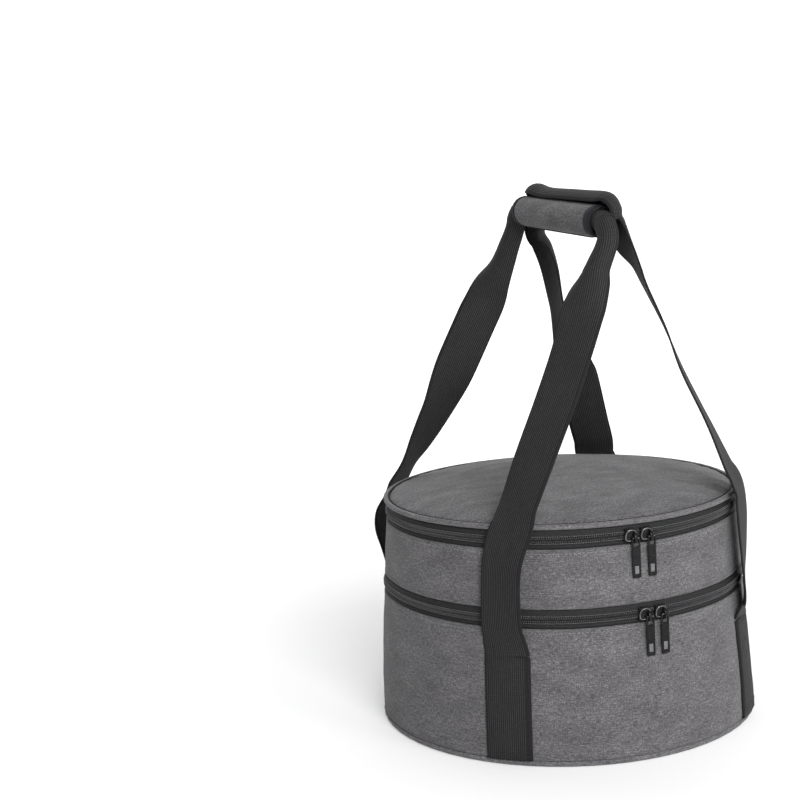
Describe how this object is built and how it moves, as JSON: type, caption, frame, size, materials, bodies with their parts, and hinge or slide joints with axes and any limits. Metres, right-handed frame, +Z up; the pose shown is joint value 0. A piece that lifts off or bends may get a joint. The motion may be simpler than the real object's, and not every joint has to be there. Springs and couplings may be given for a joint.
{
  "type": "round insulated bag",
  "caption": "Round insulated carrier bag with stacked compartments, a domed zip lid, webbing carry straps and a padded handle wrap.",
  "frame": {"origin": "centre of the base on the surface the bag stands on", "axes": "+Z up, -Y towards the front, where the zip sliders meet; the rear hinge panel is at +Y"},
  "size_m": [0.3198, 0.3217, 0.4485],
  "materials": {
    "heather_fabric": "heather grey woven polyester, matte",
    "webbing": "ribbed polypropylene webbing, slight sheen",
    "zip_tape": "black woven zip tape with a nylon coil",
    "foam": "closed-cell foam, matte",
    "liner": "silver insulated liner film, soft sheen",
    "board": "polyethylene stiffener board",
    "slider_metal": "glossy gunmetal black",
    "hook_loop": "black hook and loop tape, fuzzy"
  },
  "bodies": {
    "base": {"base_outer_panel": "heather_fabric", "base_welt": "heather_fabric", "base_board": "board", "base_foam": "foam", "lower_wall_shell": "heather_fabric", "lower_wall_foam": "foam", "lower_liner": "liner", "lower_zip_tape_lower": "zip_tape", "rear_panel_lower": "heather_fabric", "strap_sewn_left_front": "webbing", "strap_sewn_left_rear": "webbing", "strap_sewn_right_front": "webbing", "strap_sewn_right_rear": "webbing"},
    "upper_compartment": {"lower_zip_tape_upper": "zip_tape", "divider_panel": "foam", "band_wall_shell": "heather_fabric", "band_foam": "foam", "band_liner": "liner", "upper_zip_tape_lower": "zip_tape", "rear_panel_upper": "heather_fabric"},
    "lid": {"upper_zip_tape_upper": "zip_tape", "rear_panel_lid_edge": "heather_fabric", "lid_piping": "heather_fabric", "lid_dome": "heather_fabric", "lid_foam": "foam", "lid_liner": "liner"},
    "strap_left_root": {"strap_root_left_front": "webbing", "strap_root_left_rear": "webbing"},
    "strap_right_root": {"strap_root_right_front": "webbing", "strap_root_right_rear": "webbing"},
    "strap_left": {"strap_loop_left": "webbing", "handle_wrap_panel": "heather_fabric", "wrap_binding_front": "webbing", "wrap_binding_rear": "webbing", "wrap_loop_strip": "hook_loop"},
    "strap_right": {"strap_loop_right": "webbing"},
    "wrap_flap": {"handle_wrap_flap": "heather_fabric", "wrap_hook_strip": "hook_loop"},
    "lower_slider_left": {"lower_slider_left": "slider_metal"},
    "lower_pull_left": {"lower_pull_left": "slider_metal"},
    "lower_slider_right": {"lower_slider_right": "slider_metal"},
    "lower_pull_right": {"lower_pull_right": "slider_metal"},
    "upper_slider_left": {"upper_slider_left": "slider_metal"},
    "upper_pull_left": {"upper_pull_left": "slider_metal"},
    "upper_slider_right": {"upper_slider_right": "slider_metal"},
    "upper_pull_right": {"upper_pull_right": "slider_metal"}
  },
  "joints": [
    {"name": "band_hinge", "type": "hinge", "parent": "base", "child": "upper_compartment", "pos_m": [0, 0.1543, 0.1161], "axis": [-1, 0, 0], "range_deg": [0, 70]},
    {"name": "lid_hinge", "type": "hinge", "parent": "upper_compartment", "child": "lid", "pos_m": [0, 0.1499, 0.1781], "axis": [-1, 0, 0], "range_deg": [0, 90]},
    {"name": "strap_left_root_hinge", "type": "hinge", "parent": "base", "child": "strap_left_root", "pos_m": [-0.11, 0, 0.09], "axis": [0, -1, 0], "range_deg": [0, 59.5], "deforming": ["strap_root_left_front", "strap_root_left_rear"]},
    {"name": "strap_left_hinge", "type": "hinge", "parent": "strap_left_root", "child": "strap_left", "pos_m": [-0.11, 0, 0.09], "axis": [0, -1, 0], "range_deg": [0, 59.6], "deforming": ["strap_loop_left"]},
    {"name": "strap_right_root_hinge", "type": "hinge", "parent": "base", "child": "strap_right_root", "pos_m": [0.11, 0, 0.09], "axis": [0, 1, 0], "range_deg": [0, 59.5], "deforming": ["strap_root_right_front", "strap_root_right_rear"]},
    {"name": "strap_right_hinge", "type": "hinge", "parent": "strap_right_root", "child": "strap_right", "pos_m": [0.11, 0, 0.09], "axis": [0, 1, 0], "range_deg": [0, 59.6], "deforming": ["strap_loop_right"]},
    {"name": "wrap_flap_hinge", "type": "hinge", "parent": "strap_left", "child": "wrap_flap", "pos_m": [0.00443, -0.0135, 0.4338], "axis": [0, -0.998, -0.0629], "range_deg": [0, 75]},
    {"name": "lower_slider_left_travel", "type": "hinge", "parent": "base", "child": "lower_slider_left", "pos_m": [0, 0, 0.1161], "axis": [0, 0, -1], "range_deg": [0, 147.55]},
    {"name": "lower_pull_left_hinge", "type": "hinge", "parent": "lower_slider_left", "child": "lower_pull_left", "pos_m": [-0.00341, -0.15735, 0.1141], "axis": [-0.999, 0.0445, 0], "range_deg": [0, 140]},
    {"name": "lower_slider_right_travel", "type": "hinge", "parent": "base", "child": "lower_slider_right", "pos_m": [0, 0, 0.1161], "axis": [0, 0, 1], "range_deg": [0, 147.55]},
    {"name": "lower_pull_right_hinge", "type": "hinge", "parent": "lower_slider_right", "child": "lower_pull_right", "pos_m": [0.0096, -0.15708, 0.1141], "axis": [-0.999, -0.0445, 0], "range_deg": [0, 140]},
    {"name": "upper_slider_left_travel", "type": "hinge", "parent": "upper_compartment", "child": "upper_slider_left", "pos_m": [0, 0, 0.1781], "axis": [0, 0, -1], "range_deg": [0, 144.75]},
    {"name": "upper_pull_left_hinge", "type": "hinge", "parent": "upper_slider_left", "child": "upper_pull_left", "pos_m": [-0.01088, -0.1526, 0.1761], "axis": [-0.9956, 0.0932, 0], "range_deg": [0, 140]},
    {"name": "upper_slider_right_travel", "type": "hinge", "parent": "upper_compartment", "child": "upper_slider_right", "pos_m": [0, 0, 0.1781], "axis": [0, 0, 1], "range_deg": [0, 150.45]},
    {"name": "upper_pull_right_hinge", "type": "hinge", "parent": "upper_slider_right", "child": "upper_pull_right", "pos_m": [0.00267, -0.15297, 0.1761], "axis": [-1, 0.0061, 0], "range_deg": [0, 140]}
  ],
  "couplings": [
    {"joint": "strap_left_root_hinge", "follows": "lid_hinge", "ratio": 0.66},
    {"joint": "strap_left_hinge", "follows": "band_hinge", "ratio": 0.85},
    {"joint": "strap_right_root_hinge", "follows": "lid_hinge", "ratio": 0.66},
    {"joint": "strap_right_hinge", "follows": "band_hinge", "ratio": 0.85},
    {"joint": "lower_slider_left_travel", "follows": "band_hinge", "ratio": 2.1064},
    {"joint": "lower_slider_right_travel", "follows": "band_hinge", "ratio": 2.1064},
    {"joint": "upper_slider_left_travel", "follows": "lid_hinge", "ratio": 1.6072},
    {"joint": "upper_slider_right_travel", "follows": "lid_hinge", "ratio": 1.6706}
  ]
}
